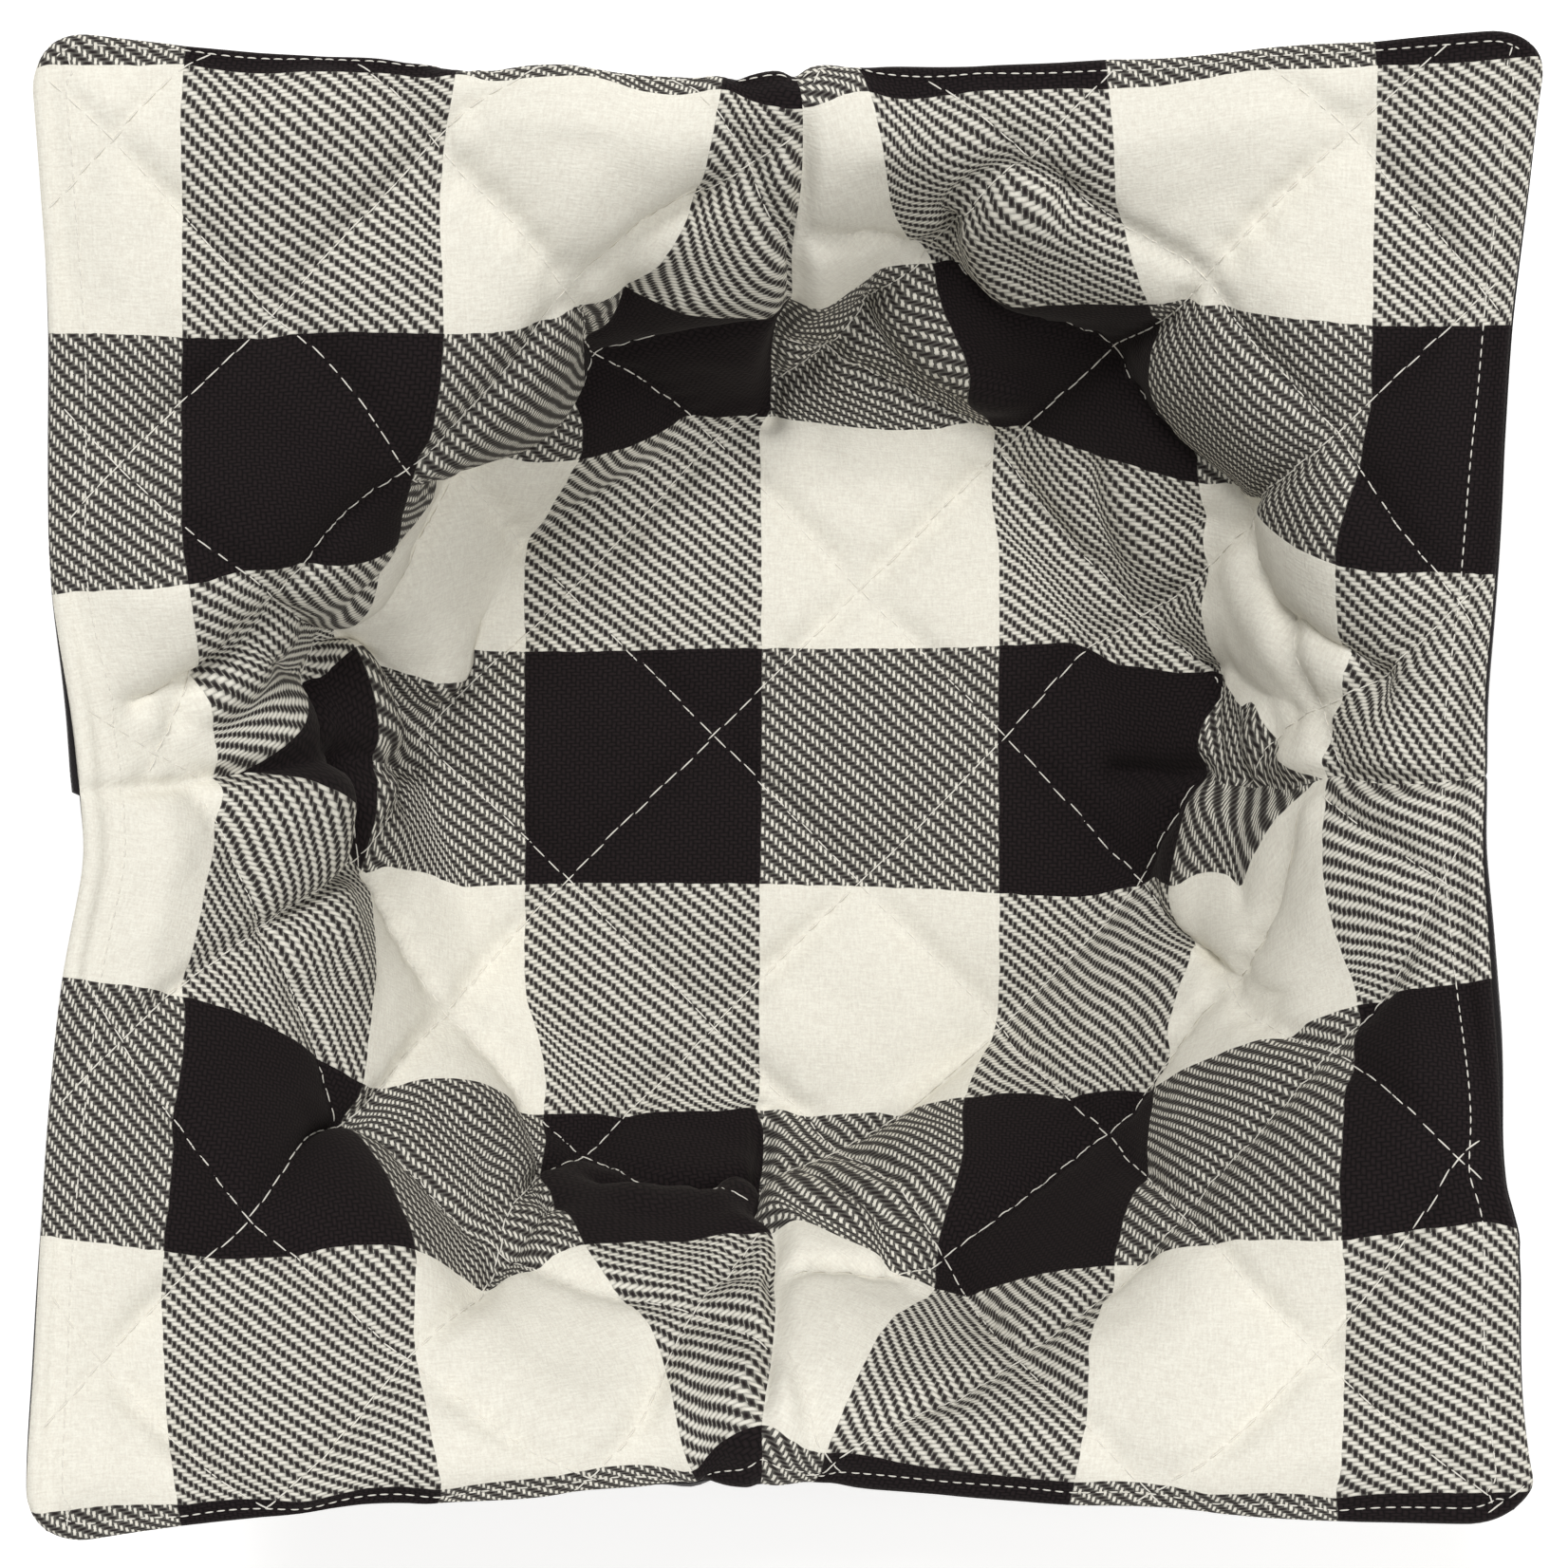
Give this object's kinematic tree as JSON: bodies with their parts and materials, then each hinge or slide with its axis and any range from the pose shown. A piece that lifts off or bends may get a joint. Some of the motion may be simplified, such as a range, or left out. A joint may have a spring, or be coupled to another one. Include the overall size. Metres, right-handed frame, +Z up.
{
  "type": "bowl cozy",
  "caption": "Square quilted cloth holder with a darted well and upturned corner flaps, in which a hot bowl stands and is carried.",
  "frame": {"origin": "under the middle of the flat base, on the surface that the cozy rests on", "axes": "+Z up, +Y along the warp of the checked cloth towards the top of the picture, +X to its right"},
  "size_m": [0.2473, 0.2464, 0.0871],
  "materials": {
    "checked_twill": "cream and black buffalo check, 2/2 twill, quilted",
    "black_cloth": "plain black cotton, matte, quilted"
  },
  "bodies": {
    "root": {"inner_panel": "checked_twill", "outer_panel": "black_cloth"}
  },
  "joints": []
}
